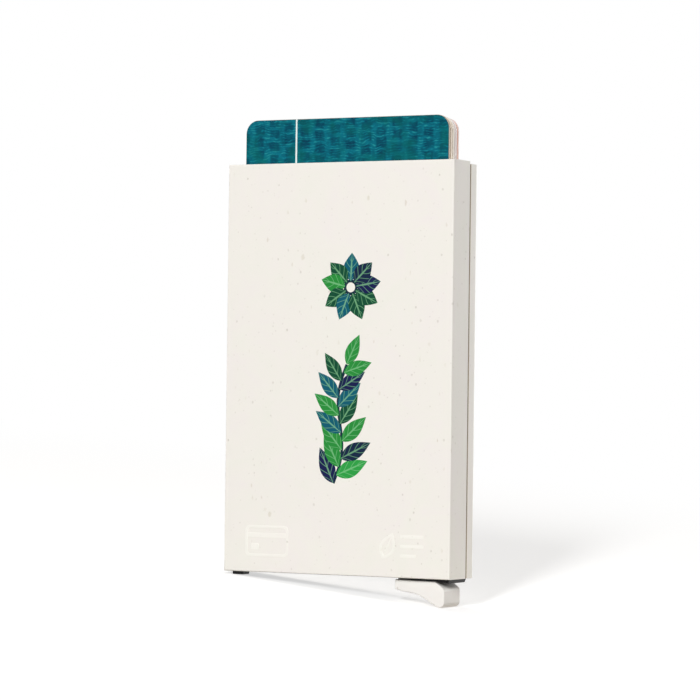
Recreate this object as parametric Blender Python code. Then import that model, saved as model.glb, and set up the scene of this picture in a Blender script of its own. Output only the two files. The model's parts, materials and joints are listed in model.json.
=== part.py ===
"""Upright pop-up card case: two moulded shells round a black chassis, with a lever that lifts five cards.

Metres, +Z up. The front face looks along -Y. The origin is the middle of the chassis floor's underside.
The lever is modelled closed, about its pin, and then turned open by its parent empty.
"""

import bpy
import bmesh
from math import acos, asin, atan2, cos, hypot, pi, radians, sin, tan

# Cards, standard identity size
CARD_LENGTH = 0.0856
CARD_WIDTH = 0.05398
CARD_THICKNESS = 0.00076
CARD_CORNER = 0.00318
CARD_COUNT = 5
CARD_SPACING = 0.0003
CARD_STAGGER = 0.00012
CARD_LIFT = 0.0106
CARD_SIDE_GAP = 0.00036

# Clearances and the overrun that every cut shares
RUN_GAP = 0.0003
SEAT_GAP = 0.00015
PRESS_GAP = 0.00003
OVERRUN = 0.001

# Shells
PANEL = 0.0012
SIDE_WALL = 0.0012
TOP_WALL = 0.0012
MOUTH_GAP = 0.00045
MOUTH_SINK = 0.00012
REAR_DROP = 0.0006
PARTING_GAP = 0.0004
FRONT_EDGE = 0.00035
REAR_EDGE = 0.0012
PARTING_EDGE = 0.00018
LIP_THICKNESS = 0.0005
LIP_HEIGHT = 0.00085
LIP_MARGIN = 0.0035
POCKET_SKIN = 0.00045
POCKET_HEIGHT = 0.007
BOSS_RADIUS = 0.00125
BOSS_HEIGHT = 0.0046
BOSS_PILOT = 0.00065
BOSS_FLOOR = 0.0004

# Shields, felt pads and leaf springs
SHIELD_THICKNESS = 0.0003
SHIELD_GLUE = 0.0002
SHIELD_TOP_GAP = 0.0003
FRONT_PAD_THICKNESS = 0.00075
REAR_PAD_THICKNESS = 0.00085
PAD_WIDTH = 0.044
PAD_HEIGHT = 0.005
PAD_DROP = 0.0013
SPRING_THICKNESS = 0.00025
SPRING_WIDTH = 0.006
SPRING_LENGTH = 0.042
SPRING_FOOT = 0.003
SPRING_OFFSET = 0.014
SPRING_HEIGHT = 0.05

# Chassis
RAIL_THICKNESS = 0.0013
CHASSIS_WALL = 0.00095
CHASSIS_FLOOR = 0.001
WELL_FLOOR = 0.0089
BRIDGE_THICKNESS = 0.0017
BAR_THICKNESS = 0.00095
BAR_HEIGHT = 0.0073
RAIL_TOP_GAP = 0.0003
BLOCK_WIDTH = 0.00435
BLOCK_HEIGHT = 0.0056
SEAT_BLOCK_WIDTH = 0.0036
SEAT_BLOCK_HEIGHT = 0.0037
SEAT_WEB = 0.001
WALL_PAST_PIN = 0.0035
FOOT_LENGTH = 0.0029
FOOT_DEPTH = 0.0028
FOOT_HEIGHT = 0.0008
FOOT_INSET = 0.00025
FOOT_EDGE = 0.00015

# Screws that hold the chassis to the front shell
SCREW_RADIUS = 0.0006
SCREW_LENGTH = 0.0042
HEAD_RADIUS = 0.0011
HEAD_HEIGHT = 0.0008
HEAD_EDGE = 0.0002
LEFT_SCREW_INSET = 0.00205
LEFT_SCREW_HEIGHT = 0.0029
RIGHT_SCREW_PAST_PIN = 0.008

# Lever, its pin and its washers
PIN_INSET = 0.02
PIN_Z = 0.002
PIN_RADIUS = 0.00075
PIN_END_GAP = 0.0002
PIN_EDGE = 0.0001
BORE_GAP = 0.00005
HUB_RADIUS = 0.0017
WASHER_THICKNESS = 0.0003
WASHER_RADIUS = 0.0016
WASHER_GAP = 0.0001
NOSE_RADIUS = 0.0012
NOSE_INSET = 0.00265
WEB_THICKNESS = 0.0022
WEB_RIM = 0.0006
WEB_MARGIN = 0.004
FLANGE_THICKNESS = 0.001
FLANGE_START = 0.0061
FLANGE_SETBACK = 0.0007
FLANGE_SIDE_GAP = 0.00075
FLANGE_DROOP = 0.00045
NECK_RISE = 0.0004
NECK_END = 0.0105
TAB_SIDE_GAP = 0.0008
TAB_HEEL = 0.00525
TAB_HEEL_HEIGHT = 0.00125
TAB_TOP_SLOPE = radians(18.0)
TAB_SLOPE_RUN = 0.0041
TAB_TIP_GAP = 0.00025
TAB_TIP_HEIGHT = 0.0037
TAB_SCOOP = 0.0008
TAB_HEEL_LIP = 0.0006
TAB_TIP_LIP = 0.0018
TAB_HEEL_ROUND = 0.0004
TAB_TIP_ROUND = 0.0012
TIP_ROUND_SHARE = 0.95
TAB_CREST_ROUND = 0.0013
TAB_EDGE = 0.00035
TENON_START = 0.0085
TENON_LENGTH = 0.005
TENON_HEIGHT = 0.0008
TENON_WIDTH = 0.0048

# Facets of round stretches
ARC_STEPS = 6
CARD_ARC_STEPS = 8
SCOOP_STEPS = 8
SPRING_STEPS = 18
ROUND_SIDES = 32
EDGE_SEGMENTS = 3

# Depth of the case, added up from its front face to its rear face
CARD_PITCH = CARD_THICKNESS + CARD_SPACING
STACK = CARD_COUNT * CARD_PITCH - CARD_SPACING
SHIELD_STACK = SHIELD_GLUE + SHIELD_THICKNESS
FRONT_LINING = SHIELD_STACK + SEAT_GAP + FRONT_PAD_THICKNESS + RUN_GAP
REAR_LINING = RUN_GAP + REAR_PAD_THICKNESS + SEAT_GAP + BAR_THICKNESS + SEAT_GAP + SHIELD_STACK
CASE_DEPTH = PANEL + FRONT_LINING + STACK + REAR_LINING + PANEL
FRONT = -CASE_DEPTH / 2
REAR = CASE_DEPTH / 2
PANEL_FRONT = FRONT + PANEL
PANEL_REAR = REAR - PANEL
STACK_FRONT = PANEL_FRONT + FRONT_LINING
STACK_REAR = STACK_FRONT + STACK
REAR_COVER_FRONT = STACK_REAR + MOUTH_GAP
FRONT_SHELL_REAR = REAR_COVER_FRONT - PARTING_GAP
SHIELD_FACE = PANEL_REAR - SHIELD_STACK

# Width of the case, added up from its middle
WELL_HALF = CARD_WIDTH / 2 + CARD_SIDE_GAP
CHASSIS_HALF = WELL_HALF + RAIL_THICKNESS
INNER_HALF = CHASSIS_HALF + SEAT_GAP
CASE_HALF = INNER_HALF + SIDE_WALL
CHASSIS_DEPTH_HALF = PANEL_REAR - SEAT_GAP
CHANNEL_HALF = CHASSIS_DEPTH_HALF - CHASSIS_WALL

# Height of the case, added up from its underside
LOWEST_CARD = WELL_FLOOR + RUN_GAP
STAGGER_SUM = CARD_STAGGER * (CARD_COUNT - 1)
FRONT_TOP = LOWEST_CARD + STAGGER_SUM + CARD_LENGTH + MOUTH_SINK
REAR_TOP = FRONT_TOP - REAR_DROP
RAIL_TOP = REAR_TOP - TOP_WALL - RAIL_TOP_GAP
BAR_BOTTOM = RAIL_TOP - BAR_HEIGHT
BRIDGE_BOTTOM = WELL_FLOOR - BRIDGE_THICKNESS

# Lever, measured from its pin while it is closed
PIN_X = CASE_HALF - PIN_INSET
NOSE_X = -(PIN_X + WELL_HALF - NOSE_INSET - NOSE_RADIUS)
NOSE_Z = LOWEST_CARD - RUN_GAP - NOSE_RADIUS - PIN_Z
NOSE_REACH = hypot(NOSE_X, NOSE_Z)
LEVER_SWING = asin((NOSE_Z + CARD_LIFT) / NOSE_REACH) - asin(NOSE_Z / NOSE_REACH)
HUB_HALF = CHANNEL_HALF - WASHER_GAP - WASHER_THICKNESS - WASHER_GAP
FLANGE_HALF = PANEL_REAR - FLANGE_SIDE_GAP
TAB_HALF = PANEL_REAR - TAB_SIDE_GAP
TAB_TIP = PIN_INSET - POCKET_SKIN - TAB_TIP_GAP
TAB_BREAK = TAB_TIP - TAB_SLOPE_RUN
FLANGE_END = TAB_TIP - FLANGE_SETBACK
WALL_END = PIN_X + WALL_PAST_PIN
LEFT_SCREW = (-CHASSIS_HALF + LEFT_SCREW_INSET, LEFT_SCREW_HEIGHT)
RIGHT_SCREW = (PIN_X + RIGHT_SCREW_PAST_PIN, WELL_FLOOR - SEAT_BLOCK_HEIGHT / 2)
BOSS_TOP = PANEL_FRONT + BOSS_HEIGHT
SEAT_FACE = BOSS_TOP + SEAT_GAP + SEAT_WEB


def clear_scene():
    for old in list(bpy.data.objects):
        bpy.data.objects.remove(old, do_unlink=True)


def make_material(name, colour, roughness, metallic=0.0):
    made = bpy.data.materials.new(name)
    made.use_nodes = True
    shader = made.node_tree.nodes["Principled BSDF"]
    shader.inputs["Base Color"].default_value = (*colour, 1.0)
    shader.inputs["Roughness"].default_value = roughness
    shader.inputs["Metallic"].default_value = metallic
    return made


def add_object(name, shape, parent=None, location=(0, 0, 0)):
    """Turns a bmesh into an object of this name, placed by its location under its parent."""
    bmesh.ops.recalc_face_normals(shape, faces=shape.faces)
    mesh = bpy.data.meshes.new(name)
    shape.to_mesh(mesh)
    shape.free()
    made = bpy.data.objects.new(name, mesh)
    made.location = location
    made.parent = parent
    bpy.context.scene.collection.objects.link(made)
    return made


def add_empty(name, location, turn=0.0):
    made = bpy.data.objects.new(name, None)
    made.location = location
    made.rotation_euler = (0, turn, 0)
    bpy.context.scene.collection.objects.link(made)
    return made


def finish(piece, material, smooth=True):
    piece.data.materials.append(material)
    if smooth:
        piece.data.shade_smooth()
        piece.data.set_sharp_from_angle(angle=radians(32))
    return piece


def combine(piece, operation, tool):
    """Cuts a piece with a tool, or joins the tool to it. The tool is a hidden helper."""
    tool.hide_render = True
    tool.display_type = "WIRE"
    modifier = piece.modifiers.new(tool.name, "BOOLEAN")
    modifier.operation = operation
    modifier.solver = "EXACT"
    modifier.object = tool


def cut(piece, tool):
    combine(piece, "DIFFERENCE", tool)


def join(piece, tool):
    combine(piece, "UNION", tool)


def box(low, high):
    """A box between two corners."""
    shape = bmesh.new()
    bmesh.ops.create_cube(shape, size=1.0)
    for vertex in shape.verts:
        for axis in range(3):
            vertex.co[axis] = high[axis] if vertex.co[axis] > 0 else low[axis]
    return shape


def add_box(name, low, high, parent=None):
    return add_object(name, box(low, high), parent)


def round_edges(shape, chosen, radius, segments=EDGE_SEGMENTS):
    """Rounds the edges whose two ends both satisfy the test."""
    edges = [edge for edge in shape.edges if all(chosen(vertex.co) for vertex in edge.verts)]
    bmesh.ops.bevel(shape, geom=edges, offset=radius, segments=segments, profile=0.5, affect="EDGES")


def prism(outline, low, high):
    """An outline in X and Z, drawn out along Y."""
    shape = bmesh.new()
    ring = [shape.verts.new((x, low, z)) for x, z in outline]
    face = shape.faces.new(ring)
    drawn = bmesh.ops.extrude_face_region(shape, geom=[face])
    moved = [part for part in drawn["geom"] if isinstance(part, bmesh.types.BMVert)]
    bmesh.ops.translate(shape, verts=moved, vec=(0, high - low, 0))
    return shape


def turning(stations, centre, sides=ROUND_SIDES):
    """A solid turned about an axis along Y: each station is a radius and its place on the axis."""
    shape = bmesh.new()
    rings = []
    for radius, place in stations:
        ring = []
        for side in range(sides):
            angle = 2 * pi * side / sides
            across, up = radius * cos(angle), radius * sin(angle)
            ring.append(shape.verts.new((centre[0] + across, place, centre[1] + up)))
        rings.append(ring)
    for ring, following in zip(rings, rings[1:]):
        for side in range(sides):
            after = (side + 1) % sides
            shape.faces.new((ring[side], ring[after], following[after], following[side]))
    shape.faces.new(rings[0])
    shape.faces.new(rings[-1])
    return shape


def add_turning(name, stations, centre, parent=None):
    return add_object(name, turning(stations, centre), parent)


def arc(centre, radius, start, end, steps=ARC_STEPS):
    points = []
    for step in range(steps + 1):
        angle = start + (end - start) * step / steps
        points.append((centre[0] + radius * cos(angle), centre[1] + radius * sin(angle)))
    return points


def rounded(corners, steps=ARC_STEPS):
    """An outline from corners, each a place and the radius that rounds it."""
    outline = []
    count = len(corners)
    for index, (x, z, radius) in enumerate(corners):
        if radius == 0:
            outline.append((x, z))
            continue
        before = corners[index - 1]
        after = corners[(index + 1) % count]
        into = hypot(before[0] - x, before[1] - z)
        away = hypot(after[0] - x, after[1] - z)
        into_x, into_z = (before[0] - x) / into, (before[1] - z) / into
        away_x, away_z = (after[0] - x) / away, (after[1] - z) / away
        half = acos(into_x * away_x + into_z * away_z) / 2
        to_centre = hypot(into_x + away_x, into_z + away_z)
        reach = radius / sin(half)
        centre = (x + (into_x + away_x) / to_centre * reach, z + (into_z + away_z) / to_centre * reach)
        run = radius / tan(half)
        first = atan2(z + into_z * run - centre[1], x + into_x * run - centre[0])
        last = atan2(z + away_z * run - centre[1], x + away_x * run - centre[0])
        sweep = (last - first + pi) % (2 * pi) - pi
        outline.extend(arc(centre, radius, first, first + sweep, steps))
    return outline


def make_lip_tool(name, side, thickness, low, high, top):
    """A strip along one side of the parting line: the tongue, or the groove that takes it."""
    inner = side * (INNER_HALF - OVERRUN if thickness > LIP_THICKNESS else INNER_HALF)
    outer = side * (INNER_HALF + thickness)
    left, right = sorted((inner, outer))
    margin = LIP_MARGIN - (thickness - LIP_THICKNESS)
    return add_box(name, (left, low, POCKET_HEIGHT + margin), (right, high, top - margin))


def cut_pocket(shell):
    """Thins the right wall beside the lever's tip."""
    tool = add_box(
        shell.name + "_pocket_tool",
        (0, -TAB_HALF - RUN_GAP, -OVERRUN),
        (CASE_HALF - POCKET_SKIN, TAB_HALF + RUN_GAP, POCKET_HEIGHT),
    )
    cut(shell, tool)


def cut_mouth(shell):
    """The slot that the cards rise through, open to the parting line, where the rear cover closes it."""
    half = CARD_WIDTH / 2 + MOUTH_GAP
    low = (-half, STACK_FRONT - MOUTH_GAP, FRONT_TOP - TOP_WALL - OVERRUN)
    high = (half, FRONT_SHELL_REAR + OVERRUN, FRONT_TOP + OVERRUN)
    cut(shell, add_box(shell.name + "_mouth_tool", low, high))


def make_front_shell(material):
    shape = box((-CASE_HALF, FRONT, 0), (CASE_HALF, FRONT_SHELL_REAR, FRONT_TOP))
    round_edges(shape, lambda place: place.y < 0, FRONT_EDGE)
    round_edges(shape, lambda place: place.y > FRONT_SHELL_REAR - OVERRUN / 2, PARTING_EDGE, 1)
    shell = add_object("front_shell", shape)
    hollow = add_box(
        "front_hollow_tool",
        (-INNER_HALF, PANEL_FRONT, -OVERRUN),
        (INNER_HALF, FRONT_SHELL_REAR + OVERRUN, FRONT_TOP - TOP_WALL),
    )
    cut(shell, hollow)
    cut_mouth(shell)
    cut_pocket(shell)
    low, high = FRONT_SHELL_REAR - LIP_HEIGHT, FRONT_SHELL_REAR + LIP_HEIGHT
    lip_top = REAR_TOP - TOP_WALL
    for side, label in ((-1, "left"), (1, "right")):
        join(shell, make_lip_tool(f"{label}_tongue_tool", side, LIP_THICKNESS, low, high, lip_top))
    for place, label in ((LEFT_SCREW, "left"), (RIGHT_SCREW, "right")):
        root = PANEL_FRONT - PANEL / 2
        join(shell, add_turning(f"{label}_boss_tool", ((BOSS_RADIUS, root), (BOSS_RADIUS, BOSS_TOP)), place))
        pilot = ((BOSS_PILOT, PANEL_FRONT + BOSS_FLOOR), (BOSS_PILOT, BOSS_TOP + OVERRUN))
        cut(shell, add_turning(f"{label}_pilot_tool", pilot, place))
    return finish(shell, material)


def make_rear_cover(material):
    shape = box((-CASE_HALF, REAR_COVER_FRONT, 0), (CASE_HALF, REAR, REAR_TOP))
    round_edges(shape, lambda place: place.y > REAR - OVERRUN / 2, REAR_EDGE, EDGE_SEGMENTS + 1)
    round_edges(shape, lambda place: place.y < REAR_COVER_FRONT + PARTING_EDGE / 2, PARTING_EDGE, 1)
    cover = add_object("rear_cover", shape)
    hollow = add_box(
        "rear_hollow_tool",
        (-INNER_HALF, REAR_COVER_FRONT - OVERRUN, -OVERRUN),
        (INNER_HALF, PANEL_REAR, REAR_TOP - TOP_WALL),
    )
    cut(cover, hollow)
    cut_pocket(cover)
    low, high = REAR_COVER_FRONT - OVERRUN, FRONT_SHELL_REAR + LIP_HEIGHT + SEAT_GAP
    lip_top = REAR_TOP - TOP_WALL
    for side, label in ((-1, "left"), (1, "right")):
        cut(cover, make_lip_tool(f"{label}_groove_tool", side, LIP_THICKNESS + SEAT_GAP, low, high, lip_top))
    return finish(cover, material)


def screw_hole_tools(place, label):
    """The stepped hole round a boss: room for the boss, the screw and its head, drilled from both faces."""
    seat = BOSS_TOP + SEAT_GAP
    far = CHASSIS_DEPTH_HALF + OVERRUN
    boss_room = BOSS_RADIUS + SEAT_GAP
    shank_room = BOSS_PILOT + SEAT_GAP
    head_room = HEAD_RADIUS + RUN_GAP
    return (
        add_turning(f"{label}_boss_room_tool", ((boss_room, -far), (boss_room, seat)), place),
        add_turning(f"{label}_shank_room_tool", ((shank_room, -far), (shank_room, far)), place),
        add_turning(f"{label}_head_room_tool", ((head_room, SEAT_FACE), (head_room, far)), place),
    )


def channel_floor_end():
    """Where the closed arm's lower edge clears the chassis floor."""
    slope = asin(NOSE_Z / NOSE_REACH) + asin((HUB_RADIUS - NOSE_RADIUS) / NOSE_REACH)
    rise = CHASSIS_FLOOR + RUN_GAP - PIN_Z + HUB_RADIUS / cos(slope)
    return PIN_X - rise / tan(slope)


def make_chassis(material):
    half, depth = CHASSIS_HALF, CHASSIS_DEPTH_HALF
    chassis = add_box("chassis", (-half, -depth, 0), (half, depth, RAIL_TOP))
    outside = depth + OVERRUN

    # The card well between the rails, open at the front and back, with a bar across the back of its mouth
    cut(chassis, add_box("well_tool", (-WELL_HALF, -outside, WELL_FLOOR), (WELL_HALF, outside, BAR_BOTTOM)))
    bar_front = STACK_REAR + RUN_GAP + REAR_PAD_THICKNESS + SEAT_GAP
    bar_rear = bar_front + BAR_THICKNESS
    top = RAIL_TOP + OVERRUN
    lowest = BAR_BOTTOM - OVERRUN
    cut(chassis, add_box("mouth_well_tool", (-WELL_HALF, -outside, lowest), (WELL_HALF, bar_front, top)))
    cut(chassis, add_box("bar_back_tool", (-WELL_HALF, bar_rear, lowest), (WELL_HALF, outside, top)))

    # The channel that the lever's arm lies in, with a screw block at its left end
    block_right = -half + BLOCK_WIDTH
    above = WELL_FLOOR + OVERRUN
    channel = (
        (block_right, CHASSIS_FLOOR),
        (WALL_END + OVERRUN, CHASSIS_FLOOR),
        (WALL_END + OVERRUN, above),
        (-WELL_HALF, above),
        (-WELL_HALF, BLOCK_HEIGHT),
        (block_right, BLOCK_HEIGHT),
    )
    cut(chassis, add_object("channel_tool", prism(channel, -CHANNEL_HALF, CHANNEL_HALF)))
    floor_end = channel_floor_end()
    low = (floor_end, -CHANNEL_HALF, -OVERRUN)
    cut(chassis, add_box("floor_tool", low, (WALL_END + OVERRUN, CHANNEL_HALF, CHASSIS_FLOOR + OVERRUN)))

    # The room that the tab swings into, under a bridge that carries the right rail and the right screw seat
    seat_left = RIGHT_SCREW[0] - SEAT_BLOCK_WIDTH / 2
    seat_right = RIGHT_SCREW[0] + SEAT_BLOCK_WIDTH / 2
    seat_bottom = WELL_FLOOR - SEAT_BLOCK_HEIGHT
    beyond = half + OVERRUN
    swing_room = (
        (WALL_END, -OVERRUN),
        (beyond, -OVERRUN),
        (beyond, BRIDGE_BOTTOM),
        (seat_right, BRIDGE_BOTTOM),
        (seat_right, seat_bottom),
        (seat_left, seat_bottom),
        (seat_left, BRIDGE_BOTTOM),
        (WALL_END, BRIDGE_BOTTOM),
    )
    cut(chassis, add_object("swing_room_tool", prism(swing_room, -outside, outside)))

    # The foot that shows under the shells' left corner
    foot_left = -half + FOOT_INSET
    foot_front = -depth + SEAT_GAP
    low = (foot_left, foot_front, -FOOT_HEIGHT)
    shape = box(low, (foot_left + FOOT_LENGTH, foot_front + FOOT_DEPTH, CHASSIS_FLOOR / 2))
    round_edges(shape, lambda place: place.z < -FOOT_HEIGHT / 2, FOOT_EDGE, 2)
    join(chassis, add_object("foot_tool", shape))

    pin_hole = PIN_RADIUS + PRESS_GAP
    cut(chassis, add_turning("pin_hole_tool", ((pin_hole, -outside), (pin_hole, outside)), (PIN_X, PIN_Z)))
    for place, label in ((LEFT_SCREW, "left"), (RIGHT_SCREW, "right")):
        for tool in screw_hole_tools(place, label):
            cut(chassis, tool)
    return finish(chassis, material)


def make_shields(material):
    half = WELL_HALF - RUN_GAP
    low, high = WELL_FLOOR + RUN_GAP, RAIL_TOP - SHIELD_TOP_GAP
    front = PANEL_FRONT + SHIELD_GLUE
    for name, near in (("front_shield", front), ("rear_shield", SHIELD_FACE)):
        finish(add_box(name, (-half, near, low), (half, near + SHIELD_THICKNESS, high)), material)


def make_pads(material):
    """Felt strips just inside the mouth, in front of and behind the cards."""
    top = RAIL_TOP - PAD_DROP
    front_face = PANEL_FRONT + SHIELD_STACK + SEAT_GAP
    rear_face = STACK_REAR + RUN_GAP
    for name, low, thickness in (
        ("front_felt_pad", front_face, FRONT_PAD_THICKNESS),
        ("rear_felt_pad", rear_face, REAR_PAD_THICKNESS),
    ):
        corners = (-PAD_WIDTH / 2, low, top - PAD_HEIGHT), (PAD_WIDTH / 2, low + thickness, top)
        finish(add_box(name, *corners), material)


def make_springs(material):
    """Bowed leaf springs that press the cards forward, their feet on the rear shield."""
    foot_back = SHIELD_FACE - SEAT_GAP
    crest_front = STACK_REAR + RUN_GAP
    bow = foot_back - SPRING_THICKNESS - crest_front
    span = SPRING_LENGTH - 2 * SPRING_FOOT
    spine = [(0, 0)]
    for step in range(SPRING_STEPS + 1):
        share = step / SPRING_STEPS
        spine.append((SPRING_FOOT + span * share, bow * (1 - cos(2 * pi * share)) / 2))
    spine.append((SPRING_LENGTH, 0))
    for side, label in ((-1, "left"), (1, "right")):
        shape = bmesh.new()
        bottom = SPRING_HEIGHT - SPRING_LENGTH / 2
        left = side * SPRING_OFFSET - SPRING_WIDTH / 2
        foot_front = foot_back - SPRING_THICKNESS
        ring = [shape.verts.new((left, foot_back - out, bottom + up)) for up, out in spine]
        ring += [shape.verts.new((left, foot_front - out, bottom + up)) for up, out in reversed(spine)]
        face = shape.faces.new(ring)
        drawn = bmesh.ops.extrude_face_region(shape, geom=[face])
        moved = [part for part in drawn["geom"] if isinstance(part, bmesh.types.BMVert)]
        bmesh.ops.translate(shape, verts=moved, vec=(SPRING_WIDTH, 0, 0))
        finish(add_object(f"pressure_spring_{label}", shape), material)


def make_screws(material):
    head_face = SEAT_FACE + SEAT_GAP
    for place, label in ((LEFT_SCREW, "left"), (RIGHT_SCREW, "right")):
        stations = (
            (SCREW_RADIUS / 2, head_face - SCREW_LENGTH),
            (SCREW_RADIUS, head_face - SCREW_LENGTH + SCREW_RADIUS),
            (SCREW_RADIUS, head_face),
            (HEAD_RADIUS, head_face),
            (HEAD_RADIUS, head_face + HEAD_HEIGHT - HEAD_EDGE),
            (HEAD_RADIUS - HEAD_EDGE, head_face + HEAD_HEIGHT),
        )
        finish(add_turning(f"chassis_screw_{label}", stations, place), material)


def make_pin(material):
    end = PANEL_REAR - PIN_END_GAP
    tip = PIN_RADIUS - PIN_EDGE
    stations = ((tip, -end), (PIN_RADIUS, -end + PIN_EDGE), (PIN_RADIUS, end - PIN_EDGE), (tip, end))
    finish(add_turning("lever_pin", stations, (PIN_X, PIN_Z)), material)


def make_washers(material):
    near = HUB_HALF + WASHER_GAP
    far = near + WASHER_THICKNESS
    hole = PIN_RADIUS + BORE_GAP
    for side, label in ((-1, "front"), (1, "rear")):
        stations = ((WASHER_RADIUS, side * near), (WASHER_RADIUS, side * far))
        washer = add_turning(f"pivot_washer_{label}", stations, (PIN_X, PIN_Z))
        tool = ((hole, side * (near - OVERRUN)), (hole, side * (far + OVERRUN)))
        cut(washer, add_turning(f"{label}_washer_hole_tool", tool, (PIN_X, PIN_Z)))
        finish(washer, material)


def tab_top(x):
    """Height of the tab's top face, measured from the pin while the lever is closed."""
    return -PIN_Z + TAB_HEEL_HEIGHT + (x - TAB_HEEL) * tan(TAB_TOP_SLOPE)


def flange_bottom(x):
    return tab_top(x) + SEAT_GAP


def flange_top(x):
    return flange_bottom(x) + FLANGE_THICKNESS


def tapered_bar(far, near_radius, far_radius, near_share, far_share):
    """The outline round two circles on the line from the pin to the nose, at shares of its length."""
    heading = atan2(far[1], far[0])
    apart = hypot(*far) * (far_share - near_share)
    opening = acos((near_radius - far_radius) / apart)
    near = (far[0] * near_share, far[1] * near_share)
    end = (far[0] * far_share, far[1] * far_share)
    around_end = arc(end, far_radius, heading - opening, heading + opening)
    around_near = arc(near, near_radius, heading + opening, heading - opening + 2 * pi)
    return around_end + around_near


def make_lever_arm(material, pivot):
    """Nose, arm, hub and neck as one bar, with a wider flange over the tab and a tenon that enters it."""
    nose = (NOSE_X, NOSE_Z)
    heading = atan2(NOSE_Z, NOSE_X)
    opening = acos((HUB_RADIUS - NOSE_RADIUS) / NOSE_REACH)
    outline = arc(nose, NOSE_RADIUS, heading - opening, heading + opening, 2 * ARC_STEPS)
    outline += arc((0, 0), HUB_RADIUS, heading + opening, 3 * pi / 2 + pi / ARC_STEPS)
    neck_end = (NECK_END, flange_top(NECK_END))
    outline += [
        (FLANGE_START, flange_bottom(FLANGE_START) + NECK_RISE),
        (FLANGE_END, flange_bottom(FLANGE_END) + NECK_RISE),
        (FLANGE_END, flange_top(FLANGE_END)),
        neck_end,
    ]
    outline += arc((0, 0), HUB_RADIUS, 2 * pi / ARC_STEPS, heading - opening)
    arm = add_object("lever_arm", prism(outline, -HUB_HALF, HUB_HALF), pivot)

    # Past the point where the tab's top falls away, the flange grows thicker towards its end
    flange = (
        (FLANGE_START, flange_bottom(FLANGE_START)),
        (TAB_BREAK, flange_bottom(TAB_BREAK)),
        (FLANGE_END, flange_bottom(FLANGE_END) - FLANGE_DROOP),
        (FLANGE_END, flange_top(FLANGE_END)),
        (FLANGE_START, flange_top(FLANGE_START)),
    )
    join(arm, add_object("flange_tool", prism(flange, -FLANGE_HALF, FLANGE_HALF), pivot))
    join(arm, add_object("tenon_tool", tenon(0), pivot))

    # A pocket in each face leaves a web between the arm's rims
    margin_share = WEB_MARGIN / NOSE_REACH
    pocket = tapered_bar(nose, HUB_RADIUS - WEB_RIM, NOSE_RADIUS - WEB_RIM, margin_share, 1 - margin_share)
    for side, label in ((-1, "front"), (1, "rear")):
        low, high = sorted((side * WEB_THICKNESS / 2, side * (HUB_HALF + OVERRUN)))
        cut(arm, add_object(f"{label}_web_tool", prism(pocket, low, high), pivot))
    bore = PIN_RADIUS + BORE_GAP
    through = HUB_HALF + OVERRUN
    cut(arm, add_turning("hub_bore_tool", ((bore, -through), (bore, through)), (0, 0), pivot))
    return finish(arm, material)


def tenon(clearance):
    """The block that keys the flange to the tab, or with a clearance the mortise that takes it."""
    left = TENON_START - clearance
    right = TENON_START + TENON_LENGTH + clearance
    deep = TENON_HEIGHT + clearance
    up = FLANGE_THICKNESS / 2
    outline = (
        (left, tab_top(left) - deep),
        (right, tab_top(right) - deep),
        (right, flange_bottom(right) + up),
        (left, flange_bottom(left) + up),
    )
    half = TENON_WIDTH / 2 + clearance
    return prism(outline, -half, half)


def upright_lean(height):
    """How far an end of the closed tab leans over a height, so that it is upright when the lever is open."""
    return height * tan(LEVER_SWING)


def make_lever_tab(material, pivot):
    """The wedge that a finger pulls, scooped below. Closed, it lies level with the foot."""
    bottom = -PIN_Z - FOOT_HEIGHT
    heel = TAB_HEEL + upright_lean(tab_top(TAB_HEEL) - bottom)
    tip = TAB_TIP + upright_lean(FOOT_HEIGHT)
    crest = TAB_TIP - upright_lean(TAB_TIP_HEIGHT)
    scoop_start = heel + TAB_HEEL_LIP
    scoop_end = tip - TAB_TIP_LIP
    # The tip's rounding is limited by the lip that it ends on
    tip_round = min(TAB_TIP_ROUND, TIP_ROUND_SHARE * TAB_TIP_LIP * tan((pi / 2 - LEVER_SWING) / 2))
    corners = [(heel, bottom, TAB_HEEL_ROUND)]
    for step in range(SCOOP_STEPS + 1):
        share = step / SCOOP_STEPS
        place = scoop_start + (scoop_end - scoop_start) * share
        corners.append((place, bottom + TAB_SCOOP * (1 - cos(2 * pi * share)) / 2, 0))
    corners += [
        (tip, bottom, tip_round),
        (crest, -PIN_Z + TAB_TIP_HEIGHT, TAB_CREST_ROUND),
        (TAB_BREAK, tab_top(TAB_BREAK), 0),
        (TAB_HEEL, tab_top(TAB_HEEL), TAB_HEEL_ROUND),
    ]
    shape = prism(rounded(corners), -TAB_HALF, TAB_HALF)
    for side in (-1, 1):
        rim = side * TAB_HALF
        round_edges(shape, lambda place: abs(place.y - rim) < TAB_EDGE / 4, TAB_EDGE, 2)
    tab = add_object("lever_tab", shape, pivot)
    cut(tab, add_object("mortise_tool", tenon(SEAT_GAP), pivot))
    return finish(tab, material)


def make_cards(materials):
    """Cards in a stack, each standing a little lower than the one in front, raised by the lever."""
    half = CARD_WIDTH / 2
    corners = (
        (-half, 0, CARD_CORNER),
        (half, 0, CARD_CORNER),
        (half, CARD_LENGTH, CARD_CORNER),
        (-half, CARD_LENGTH, CARD_CORNER),
    )
    outline = rounded(corners, CARD_ARC_STEPS)
    for index in range(CARD_COUNT):
        front = STACK_FRONT + index * CARD_PITCH
        bottom = LOWEST_CARD + STAGGER_SUM - index * CARD_STAGGER + CARD_LIFT
        card = add_object(f"card_{index + 1}", prism(outline, 0, CARD_THICKNESS), location=(0, front, bottom))
        finish(card, materials[index % len(materials)])


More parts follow.
